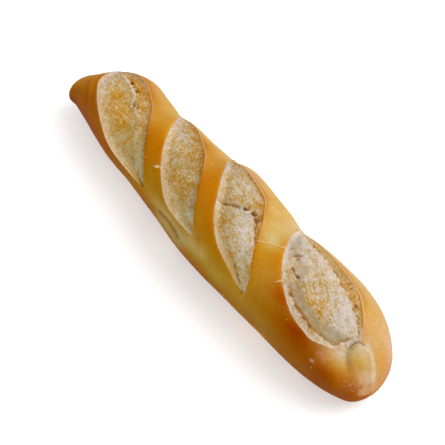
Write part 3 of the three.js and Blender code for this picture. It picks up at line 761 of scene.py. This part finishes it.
# ---- crumb: the mean colour, on the same scale ----
top1, low1, right1 = 1 - smooth(0.10, 0.35, v1), smooth(0.5, 0.95, v1), smooth(-0.5, 2.0, R1) * (1 - smooth(0.55, 0.8, v1))
top2, low2 = 1 - smooth(0.1, 0.4, v2), smooth(0.6, 0.98, v2)
top3, low3 = 1 - smooth(0.1, 0.35, v3), smooth(0.6, 0.98, v3)
behind_tear = np.where(in3, smooth(0.5, -0.5, T3) * smooth(-40, 0, X), 0)
shelf3 = np.where(in3, smooth(-0.4, 0.6, S3) * smooth(38, 44, X), 0)
trough4 = np.where(in4, smooth(-0.1, 0.6, E) * (1 - smooth(-1.2, 0.8, M)), 0)
shelf4 = np.where(in4, smooth(-0.3, 0.5, K4), 0)
lip4 = np.where(in4, lip, 0)
f1, f2, f3, f4 = (own.astype(float) for own in (in1, in2, in3, in4))
CRUMB_PAINT = [
    (f1, (205, 176, 136)),
    (f1 * lips[0], (-9, -18, -25)),
    (f1 * low1, (23, 40, 53)),
    (f1 * top1, (-6, 13, 62)),
    (f1 * right1, (4, 18, 40)),
    # beside: the crumb by the near edge, partly toast and partly painted shade from the ear
    (f1 * beside[0], (-35, -54, -83)),
    (f1 * blob(-88, 28, 18, 9), (20, -3, -40)),
    (f1 * np.exp(-((R1 + 0.6) / 1.4) ** 2) * ends1, (32, 63, 120)),
    (f1 * (SHARE - 0.5), (-38, -33, -31)),
    (f1 * (1 - 4 * (SHARE - 0.5) ** 2), (-29, -44, -76)),
    (f1 * (SHARE - 0.5) * (v1 - 0.5), (-49, -44, -52)),
    (f1 * blob(-101, 2, 6, 6), (2, 0, -2)),
    (f1 * blob(-108, 20, 8, 6), (15, 12, 1)),
    (f1 * blob(-60, 60, 14, 3), (-9, -13, -16)),
    (f2, (181, 148, 105)),
    (f2 * lips[1], (-3, 3, 12)),
    (f2 * low2, (13, 20, 23)),
    (f2 * top2, (-15, -15, -4)),
    (f2 * beside[1], (3, -1, -12)),
    (f2 * (SHARE - 0.5), (-55, -57, -60)),
    (f2 * (1 - 4 * (SHARE - 0.5) ** 2), (1, 2, -11)),
    (f2 * (SHARE - 0.5) * (v2 - 0.5), (-34, 9, 62)),
    (f2 * blob(-10, 26, 12, 9), (12, 7, -5)),
    (f2 * blob(-42, -12, 8, 3.5), (1, 14, 40)),
    (f2 * blob(-33, 3, 5, 4), (10, 10, 8)),
    (f2 * blob(-13, 18, 8, 2.5), (8, 21, 40)),
    (f2 * blob(-20, 34, 8, 4), (-5, -16, -27)),
    (f2 * blob(-5, 38, 6, 4), (-1, -14, -25)),
    (f2 * blob(12, 50, 6, 3), (14, 23, 23)),
    (f3, (194, 178, 153)),
    (f3 * lips[2], (5, 15, 42)),
    (f3 * low3, (-3, -20, -59)),
    (f3 * top3, (-13, -4, 15)),
    (f3 * beside[2] * (1 - low3), (-3, -34, -75)),
    (f3 * (SHARE - 0.5), (-21, 11, 59)),
    (f3 * behind_tear * (SHARE - 0.5), (4, -22, -62)),
    (f3 * blob(20, -14, 8, 6), (6, 15, 33)),
    (f3 * behind_tear, (-15, -26, -47)),
    (f3 * blob(28, 26, 9, 7), (-9, -21, -49)),
    (f3 * blob(50, 40, 8, 4), (8, 4, 1)),
    (f3 * blob(45, 20, 9, 7), (15, 10, 4)),
    (f3 * shelf3, (8, -7, -22)),
    (f3 * np.exp(-((T3 + 1.2) / 1.8) ** 2) * smooth(27, 30, X), (11, 26, 51)),
    (f3 * np.exp(-((T3 - 1.2) / 1.2) ** 2) * smooth(24, 28, X), (-27, -39, -57)),
    (f3 * blob(-1, -18, 5, 4), (-1, 4, 15)),
    (f3 * blob(12, 20, 5, 3), (-14, -13, -19)),
    (f4, (192, 169, 137)),
    (f4 * lip4, (0, 5, 14)),
    (f4 * np.exp(-far_d[3] / 1.3), (26, 22, 28)),
    (f4 * blob(78, 9.5, 3, 1.6), (6, -7, -35)),
    (f4 * blob(82, 20, 4, 2.0), (-6, -10, -22)),
    # the trough of the last slash: darker, partly painted shade in the hollow
    (f4 * trough4, (-12, -15, -19)),
    (f4 * trough4 * smooth(110, 128, X), (-8, 11, 26)),
    (f4 * blob(67, -12, 8, 7), (-17, -15, -15)),
    (f4 * (SHARE - 0.5) * (1 - lip4), (-23, -38, -57)),
    (f4 * (v4 - 0.5), (8, -7, -38)),
    (f4 * shelf4, (-5, -21, -45)),
    (f4 * shelf4 * smooth(95, 115, X), (9, 8, 7)),
    (f4 * beside[3], (-20, -6, 11)),
    (f4 * (1 - lip4) * np.exp(-((M - 2.5) / 3.0) ** 2) * smooth(85, 100, X), (8, 16, 28)),
    (f4 * blob(88, -8, 10, 6), (8, 10, 15)),
    (f4 * np.exp(-((M - 1.8) / 1.8) ** 2) * smooth(88, 94, X) * (1 - smooth(112, 118, X)), (-13, -30, -54)),
    # painted shadow fading out from under the lip
    (f4 * trough4 * np.exp(-((E - 0.9) / 1.1) ** 2) * smooth(86, 92, X), (-1, -20, -29)),
    (f4 * trough4 * strand * 2, (-2, 0, 1)),
    (f4 * blob(105, 17, 10, 3.5), (8, -8, -36)),
    (f4 * blob(86, -14, 8, 5), (-5, -3, 1)),
    (f4 * blob(97, -2, 10, 5), (-7, -12, -26)),
    (f4 * blob(76.5, 8, 5, 2.5), (-2, 2, 6)),
    (f4 * blob(110, -8, 12, 4), (0, 7, 20)),
    (f4 * blob(64, -26, 9, 4), (-10, -6, 1)),
    (f4 * blob(118, 4, 10, 7), (8, 26, 59)),
]
crumb_paint = mixed(CRUMB_PAINT)
crumb_paint = np.where(INSIDE[:, None], crumb_paint, (190, 160, 110))
crumb_paint += strands[:, None] * np.array([14.0, 20.0, 30.0]) + straws[:, None] * np.array([8.0, -5.0, -20.0])
crumb_paint = np.clip(crumb_paint, (60, 50, 20), (240, 226, 212))
crumb_rgb = (crumb_paint / 255) ** 2.2
# taken apart into an amount of toast between two breads, mixed as the eye sees them, and what is left over as a tint
CREAM, TOAST = np.array([216.0, 202.0, 190.0]) / 255, np.array([180.0, 118.0, 24.0]) / 255
blue_to_red = crumb_paint[:, 2] / crumb_paint[:, 0]
toast = (CREAM[2] - blue_to_red * CREAM[0]) / (CREAM[2] - TOAST[2] - blue_to_red * (CREAM[0] - TOAST[0]))
toast = np.clip(toast, 0.0, 1.0)
crumb_tint = crumb_rgb / mix(CREAM, TOAST, toast[:, None]) ** 2.2
mottle = np.where(INSIDE, 0.95 - 0.4 * lip + 0.35 * lip4 * smooth(0.6, 2.2, far_d[3]) - 0.25 * shelf4 - 0.30 * shelf4 * smooth(1.2, 3.0, K4) * (1 - smooth(92, 104, X)) - 0.50 * trough4 - 0.2 * np.clip(low1 + low2 + low3, 0, 1), 0.6)

flour += 0.50 * ring_d + 0.38 * blob(145.6, 24, 4.0, 6) + 0.22 * blob(143.5, 60, 5, 4) + 0.45 * blob(126.5, 49.5, 4.5, 2.6)
flour += 0.60 * blob(122.8, 67, 1.5, 1.1) + 0.5 * blob(124.2, 76, 0.9, 0.8) + 0.15 * blob(127, 60, 10, 6) + 0.45 * blob(137.5, -4, 2.5, 2.0) + 0.10 * blob(148.5, 60, 3, 10) + 0.35 * blob(149.3, 66, 1.4, 3)
flour *= 1 - 0.9 * blob(149.5, 27, 1.4, 2.2)

# ======================================================================================
# The mesh
# ======================================================================================
def at(i, j):
    return i * COLUMNS + (j % COLUMNS)


i, j = np.meshgrid(np.arange(RINGS - 1), np.arange(COLUMNS), indexing="ij")
a, b, c, d = (at(i, j).ravel(), at(i, j + 1).ravel(), at(i + 1, j + 1).ravel(), at(i + 1, j).ravel())
ac = np.linalg.norm(vertices[a] - vertices[c], axis=1) <= np.linalg.norm(vertices[b] - vertices[d], axis=1)
t1 = np.where(ac[:, None], np.stack([a, b, c], 1), np.stack([a, b, d], 1))
t2 = np.where(ac[:, None], np.stack([a, c, d], 1), np.stack([b, c, d], 1))
jj = np.arange(COLUMNS)
cap0 = np.stack([np.full(COLUMNS, N), at(0, jj + 1), at(0, jj)], 1)
cap1 = np.stack([np.full(COLUMNS, N + 1), at(RINGS - 1, jj), at(RINGS - 1, jj + 1)], 1)
faces = np.concatenate([np.stack([t1, t2], 1).reshape(-1, 3), cap0, cap1])
points = np.concatenate([vertices, poles])
volume = np.einsum("ij,ij->i", points[faces[:, 0]], np.cross(points[faces[:, 1]], points[faces[:, 2]])).sum() / 6
if volume < 0:
    faces = faces[:, ::-1].copy()

mesh = bpy.data.meshes.new("baguette_skin")
mesh.vertices.add(len(points))
mesh.vertices.foreach_set("co", (points / 1000).ravel())
mesh.loops.add(faces.size)
mesh.loops.foreach_set("vertex_index", faces.ravel().astype(np.int32))
mesh.polygons.add(len(faces))
mesh.polygons.foreach_set("loop_start", np.arange(0, faces.size, 3, dtype=np.int32))
mesh.polygons.foreach_set("loop_total", np.full(len(faces), 3, dtype=np.int32))
mesh.update(calc_edges=True)
mesh.validate()
mesh.polygons.foreach_set("use_smooth", np.ones(len(mesh.polygons), bool))


def store(name, kind, values):
    values = np.asarray(values, float)
    tail = values.reshape(RINGS, COLUMNS, -1)
    values = np.concatenate([values.reshape(N, -1), tail[0].mean(0, keepdims=True), tail[-1].mean(0, keepdims=True)])
    attribute = mesh.attributes.new(name, kind, "POINT")
    attribute.data.foreach_set("color" if kind == "FLOAT_COLOR" else "value", values.ravel())


one = np.ones((N, 1))
store("tint", "FLOAT_COLOR", np.hstack([rgb, one]))
store("crumb_tint", "FLOAT_COLOR", np.hstack([crumb_tint, one]))
specks = np.clip(0.9 * f2 + 0.8 * f3 * smooth(-1, 1, T3) + 0.35 * f3 + 0.9 * trough4 + 0.35 * f1, 0, 1) * crumb_in * (1 - 0.5 * lip)
# blue: painted shade in holes, cracks and pits, and under the last slash's lip
store("crumb_zone", "FLOAT_COLOR", np.stack([toast, mottle.clip(0, 1), dark.clip(0, 1), specks], -1))
store("extra", "FLOAT_COLOR", np.stack([lip.clip(0, 1), flour.clip(0, 1), near_edge_rim_and_shade.clip(0, 1), np.ones(N)], -1))
store("fine_lines", "FLOAT_COLOR", np.stack([(fine_d / 16 + 0.5).clip(0, 1), fine_pale, fine_on, fine_half], -1))
store("border", "FLOAT", SIGNED)

loaf = bpy.data.objects.new("baguette_loaf", mesh)
bpy.context.scene.collection.objects.link(loaf)

# ======================================================================================
# Finish
# ======================================================================================
def rgba(*srgb):
    return (*[float(x) for x in linear(*srgb)], 1.0)


def bread():
    m = bpy.data.materials.new("bread")
    m.use_nodes = True
    tree = m.node_tree
    tree.nodes.clear()

    def new(kind, **props):
        n = tree.nodes.new(kind)
        for key, value in props.items():
            setattr(n, key, value)
        return n

    def put(socket, value):
        if isinstance(value, bpy.types.NodeSocket):
            tree.links.new(value, socket)
        else:
            socket.default_value = value

    def calc(op, a, b=0.0, clamp=False):
        n = new("ShaderNodeMath", operation=op, use_clamp=clamp)
        put(n.inputs[0], a)
        put(n.inputs[1], b)
        return n.outputs[0]

    def total(*terms):
        out = terms[0]
        for t in terms[1:]:
            out = calc("ADD", out, t)
        return out

    def blend(fac, a, b, mode="MIX"):
        n = new("ShaderNodeMix", data_type="RGBA", blend_type=mode)
        put(n.inputs[0], fac)
        put(n.inputs[6], a)
        put(n.inputs[7], b)
        return n.outputs[2]

    def fstep(lo, hi, x):
        n = new("ShaderNodeMapRange", interpolation_type="SMOOTHSTEP")
        put(n.inputs[0], x)
        put(n.inputs[1], lo)
        put(n.inputs[2], hi)
        return n.outputs[0]

    def attr(name):
        return new("ShaderNodeAttribute", attribute_type="GEOMETRY", attribute_name=name)

    place = new("ShaderNodeTexCoord").outputs["Object"]

    def moved(shift):
        mv = new("ShaderNodeMapping")
        mv.inputs["Location"].default_value = (shift, shift * 0.7, -shift * 0.4)
        tree.links.new(place, mv.inputs["Vector"])
        return mv.outputs[0]

    def drawn_out(shift, share):
        """places turned so that X runs along the slashes, and squeezed along them"""
        turn, squeeze = new("ShaderNodeMapping"), new("ShaderNodeMapping")
        turn.inputs["Rotation"].default_value = (0.0, 0.0, 0.52)
        squeeze.inputs["Scale"].default_value = (share, 1.0, 1.0)
        tree.links.new(moved(shift), turn.inputs["Vector"])
        tree.links.new(turn.outputs[0], squeeze.inputs["Vector"])
        return squeeze.outputs[0]

    def grain(size, detail=2.0, rough=0.5, shift=0.0, distortion=0.0, share=1.0):
        """noise about 0, with features of that size in mm"""
        n = new("ShaderNodeTexNoise", noise_dimensions="3D")
        put(n.inputs["Vector"], drawn_out(shift, share) if share < 1 else moved(shift) if shift else place)
        n.inputs["Scale"].default_value = 1000.0 / size
        n.inputs["Detail"].default_value = detail
        n.inputs["Roughness"].default_value = rough
        n.inputs["Distortion"].default_value = distortion
        return calc("SUBTRACT", n.outputs["Fac"], 0.5)

    def cells(size, shift=0.0):
        n = new("ShaderNodeTexVoronoi", feature="F1", distance="EUCLIDEAN")
        put(n.inputs["Vector"], moved(shift))
        n.inputs["Scale"].default_value = 1000.0 / size
        return n.outputs["Distance"], n.outputs["Color"]

    def scaled(colour, value, powers, mode="MULTIPLY"):
        """colour times value, to a power of its own in red, green and blue"""
        c = new("ShaderNodeCombineColor")
        for n, p in enumerate(powers):
            tree.links.new(calc("POWER", value, p), c.inputs[n])
        return blend(1.0, colour, c.outputs[0], mode)

    tint = attr("tint").outputs["Color"]
    crumb_tint = attr("crumb_tint").outputs["Color"]
    zone = new("ShaderNodeSeparateColor")
    crumb_zone = attr("crumb_zone")
    tree.links.new(crumb_zone.outputs["Color"], zone.inputs[0])
    toasted, mottled, holes, specks = zone.outputs[0], zone.outputs[1], zone.outputs[2], crumb_zone.outputs["Alpha"]
    more = new("ShaderNodeSeparateColor")
    tree.links.new(attr("extra").outputs["Color"], more.inputs[0])
    # line: the near-edge mask for the painted highlight on the crust's rim and the painted shade on the crumb beside it
    lip, flour, line = more.outputs[0], more.outputs[1], more.outputs[2]
    border = attr("border").outputs["Fac"]

    fine, finer = grain(1.6, 3.0, 0.6, 0.12, 0.0, 0.8), grain(0.82, 2.0, 0.55, 0.31, 0.0, 0.5)
    patch, streaks = grain(5.0, 2.0, 0.5, 0.53), grain(2.6, 3.0, 0.6, 1.9, 0.8)
    # crumb mask: a crisp, slightly ragged border
    crumb = fstep(-0.10, 0.14, calc("ADD", border, calc("MULTIPLY", grain(1.6, 2.0, 0.5, 0.77), 0.6)))

    # lines thinner than the mesh
    fines = new("ShaderNodeSeparateColor")
    fine_lines = attr("fine_lines")
    tree.links.new(fine_lines.outputs["Color"], fines.inputs[0])
    thin_pale, thin_on, thin_half = fines.outputs[1], fines.outputs[2], fine_lines.outputs["Alpha"]
    ragged_line = grain(2.2, 3.0, 0.6, 8.1)

    def thin(raggedness):
        off = calc("MULTIPLY", calc("SUBTRACT", fines.outputs[0], 0.5), 16.0)
        away = calc("ABSOLUTE", calc("ADD", off, calc("MULTIPLY", ragged_line, 2.4 * raggedness)))
        return calc("SUBTRACT", 1.0, fstep(0.5, 1.3, calc("DIVIDE", away, thin_half)))

    # crumb: floury cream through straw to toast, in grains and in patches
    uneven = total(calc("MULTIPLY", fine, 1.25), calc("MULTIPLY", finer, 3.5), calc("MULTIPLY", streaks, 1.1),
                   calc("MULTIPLY", calc("SUBTRACT", fstep(-0.2, 0.2, patch), 0.5), 0.50))
    level = calc("MINIMUM", calc("MAXIMUM", calc("ADD", toasted, calc("MULTIPLY", uneven, calc("MULTIPLY", mottled, 0.66))), -0.02), 1.0)
    bread_colour = new("ShaderNodeCombineColor")
    for n in range(3):
        between = calc("ADD", calc("MULTIPLY", level, float(TOAST[n] - CREAM[n])), float(CREAM[n]))
        tree.links.new(calc("POWER", calc("MAXIMUM", between, 0.0), 2.2), bread_colour.inputs[n])
    inner = blend(1.0, bread_colour.outputs[0], crumb_tint, "MULTIPLY")
    # grains of light and shade, and small pores painted dark for the shade in them, and dark specks
    shade = calc("ADD", 1.0, total(calc("MULTIPLY", finer, 0.30), calc("MULTIPLY", grain(0.5, 2.0, 0.6, 6.1), 0.25)))
    inner = scaled(inner, shade, (1.0, 1.15, 1.5))
    pores, pore_id = cells(1.9, 0.2)
    picked = new("ShaderNodeSeparateColor")
    tree.links.new(pore_id, picked.inputs[0])
    pore = calc("MULTIPLY", calc("SUBTRACT", 1.0, fstep(0.10, 0.20, pores)), fstep(0.55, 0.6, picked.outputs[0]))
    inner = blend(calc("MULTIPLY", calc("MULTIPLY", pore, 0.55), mottled), inner, rgba(120, 84, 44))
    speck, speck_id = cells(1.15, 0.45)
    taken = new("ShaderNodeSeparateColor")
    tree.links.new(speck_id, taken.inputs[0])
    speck = calc("MULTIPLY", calc("SUBTRACT", 1.0, fstep(0.14, 0.27, speck)), fstep(0.60, 0.68, taken.outputs[0]))
    inner = blend(calc("MULTIPLY", calc("MULTIPLY", speck, 0.62), specks), inner, rgba(116, 80, 50))
    # painted shade cast by the ear onto the crumb along a near edge, in a toasted brown
    inner = blend(calc("MULTIPLY", calc("MULTIPLY", calc("SUBTRACT", 1.0, fstep(0.15, 0.9, border)), line), 0.55), inner, rgba(168, 112, 52))
    # fine lines in the crumb: the dark ones are painted shade in cracks and slits, the pale ones strands
    gate = fstep(-0.10, 0.06, calc("ADD", grain(2.6, 2.0, 0.5, 9.4), calc("MULTIPLY", calc("SUBTRACT", thin_on, 0.62), 0.7)))
    torn = calc("MULTIPLY", calc("MULTIPLY", thin(1.0), gate), calc("GREATER_THAN", thin_on, 0.01))
    inner = blend(calc("MULTIPLY", torn, 0.75), inner, blend(thin_pale, rgba(112, 70, 34), rgba(226, 186, 112)))
    # painted shade in holes, cracks and under the last slash's lip: sharpened where they are deep, brown towards their
    # rims
    depth = calc("ADD", holes, calc("MULTIPLY", fine, 0.5))
    inner = blend(calc("MULTIPLY", fstep(0.22, 0.55, depth), 0.68), inner, rgba(152, 98, 42))
    inner = blend(calc("MULTIPLY", fstep(0.50, 0.85, depth), 0.85), inner, rgba(110, 62, 20))

    # crust
    broad, small, dust_grain = grain(14.0, 2.0, 0.5, 2.3), grain(2.4, 3.0, 0.6, 2.9), grain(0.9, 2.0, 0.6, 7.7)
    value = calc("ADD", 1.0, total(calc("MULTIPLY", broad, 0.26), calc("MULTIPLY", small, 0.18), calc("MULTIPLY", dust_grain, 0.46)))
    outer = scaled(tint, value, (0.4, 1.55, 3.3))
    for size, radius, chance, shift, strength in ((9.0, 0.055, 0.5, 0.9, 0.75), (5.0, 0.065, 0.72, 1.7, 0.55)):
        spots, spot_id = cells(size, shift)
        chosen = new("ShaderNodeSeparateColor")
        tree.links.new(spot_id, chosen.inputs[0])
        fleck = calc("MULTIPLY", calc("SUBTRACT", 1.0, fstep(radius * 0.6, radius, spots)), fstep(chance, chance + 0.05, chosen.outputs[0]))
        outer = blend(calc("MULTIPLY", fleck, strength), outer, rgba(236, 204, 146))
    # the thin, pale rim of crust along a near edge: partly the crust's pale cut edge, partly a painted highlight where
    # it catches the light
    rim = calc("MULTIPLY", calc("MULTIPLY", fstep(-1.1, -0.35, border), line), 0.55)
    outer = blend(rim, outer, rgba(222, 168, 116))
    # fine seams and creases: the dark ones are painted shade in them, the pale ones flour and pale crust
    outer = blend(calc("MULTIPLY", thin(0.5), thin_on), outer, blend(thin_pale, rgba(112, 66, 24), rgba(240, 210, 160)))
    flour_grain = calc("ADD", flour, calc("MULTIPLY", total(calc("MULTIPLY", grain(0.9, 3.0, 0.65, 3.7), 0.8), streaks), 1.1))
    outer = blend(calc("MULTIPLY", calc("MULTIPLY", fstep(0.10, 0.95, flour_grain), fstep(0.02, 0.25, flour)), 0.42), outer, rgba(238, 212, 184))

    colour = blend(crumb, outer, inner)

    # relief finer than the mesh, in mm
    height = calc("MULTIPLY", total(calc("MULTIPLY", fine, 0.26), calc("MULTIPLY", finer, 0.12), calc("MULTIPLY", pore, -0.10)), crumb)
    height = calc("ADD", height, calc("MULTIPLY", grain(1.3, 3.0, 0.55, 4.1), 0.03))
    bump = new("ShaderNodeBump")
    bump.inputs["Strength"].default_value = 1.0
    bump.inputs["Distance"].default_value = 0.001
    tree.links.new(height, bump.inputs["Height"])

    shader = new("ShaderNodeBsdfPrincipled")
    tree.links.new(colour, shader.inputs["Base Color"])
    rough = total(calc("MULTIPLY", crumb, 0.4), calc("MULTIPLY", grain(3.0, 2.0, 0.5, 5.3), 0.12), 0.48)
    tree.links.new(rough, shader.inputs["Roughness"])
    tree.links.new(bump.outputs[0], shader.inputs["Normal"])
    shader.inputs["Specular IOR Level"].default_value = 0.010
    shader.inputs["Specular Tint"].default_value = (1.0, 0.62, 0.22, 1.0)
    out = new("ShaderNodeOutputMaterial")
    tree.links.new(shader.outputs[0], out.inputs[0])
    return m


mesh.materials.append(bread())
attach(loaf, "root")
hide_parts("baguette")

# ======================================================================================
# Floor, light and camera
# ======================================================================================
floor_mesh = bpy.data.meshes.new("floor")
r = 4.0
floor_mesh.from_pydata([(-r, -r, 0), (r, -r, 0), (r, r, 0), (-r, r, 0)], [], [(0, 1, 2, 3)])
floor = bpy.data.objects.new("floor", floor_mesh)
floor.location.z = -0.0003
bpy.context.scene.collection.objects.link(floor)
paper = bpy.data.materials.new("paper")
paper.use_nodes = True
pb = paper.node_tree.nodes["Principled BSDF"]
pb.inputs["Base Color"].default_value = (0.78, 0.78, 0.78, 1)
pb.inputs["Roughness"].default_value = 0.9
pb.inputs["Specular IOR Level"].default_value = 0.1
pb.inputs["Emission Color"].default_value = (1, 1, 1, 1)
pb.inputs["Emission Strength"].default_value = 0.42
floor_mesh.materials.append(paper)

AZIMUTH, ELEVATION, DISTANCE = 53.3, 50.0, 0.650
TARGET = Vector((0.0126, -0.00405, 0.025))
az, el = AZIMUTH * RAD, ELEVATION * RAD
back = Vector((math.sin(az) * math.cos(el), -math.cos(az) * math.cos(el), math.sin(el)))
right = Vector((math.cos(az), math.sin(az), 0))
up = back.cross(right)


def lamp(name, direction, distance, size, power, colour=(1, 1, 1)):
    data = bpy.data.lights.new(name, "AREA")
    data.shape = "DISK"
    data.size = size
    data.energy = power
    data.color = colour
    o = bpy.data.objects.new(name, data)
    direction = direction.normalized()
    o.location = TARGET + direction * distance
    o.rotation_mode = "QUATERNION"
    o.rotation_quaternion = direction.to_track_quat("Z", "Y")
    bpy.context.scene.collection.objects.link(o)
    return o


lamp("key", right * 0.75 + up * 0.55 + back * 0.55, 1.1, 1.2, 10.8, (1.0, 0.985, 0.96))
world = bpy.data.worlds.new("studio")
world.use_nodes = True
world.node_tree.nodes["Background"].inputs[0].default_value = (1, 1, 1, 1)
world.node_tree.nodes["Background"].inputs[1].default_value = 0.64
bpy.context.scene.world = world
bpy.context.scene.view_settings.view_transform = "Standard"

camera_data = bpy.data.cameras.new("camera")
camera_data.sensor_width = 36.0
camera_data.lens = 1081.0 / 445.0 * 36.0
camera_data.clip_start, camera_data.clip_end = 0.01, 20
camera = bpy.data.objects.new("camera", camera_data)
camera.matrix_world = Matrix((
    (right.x, up.x, back.x, 0), (right.y, up.y, back.y, 0), (right.z, up.z, back.z, 0), (0, 0, 0, 1)))
camera.matrix_world.translation = TARGET + back * DISTANCE
bpy.context.scene.collection.objects.link(camera)
bpy.context.scene.camera = camera
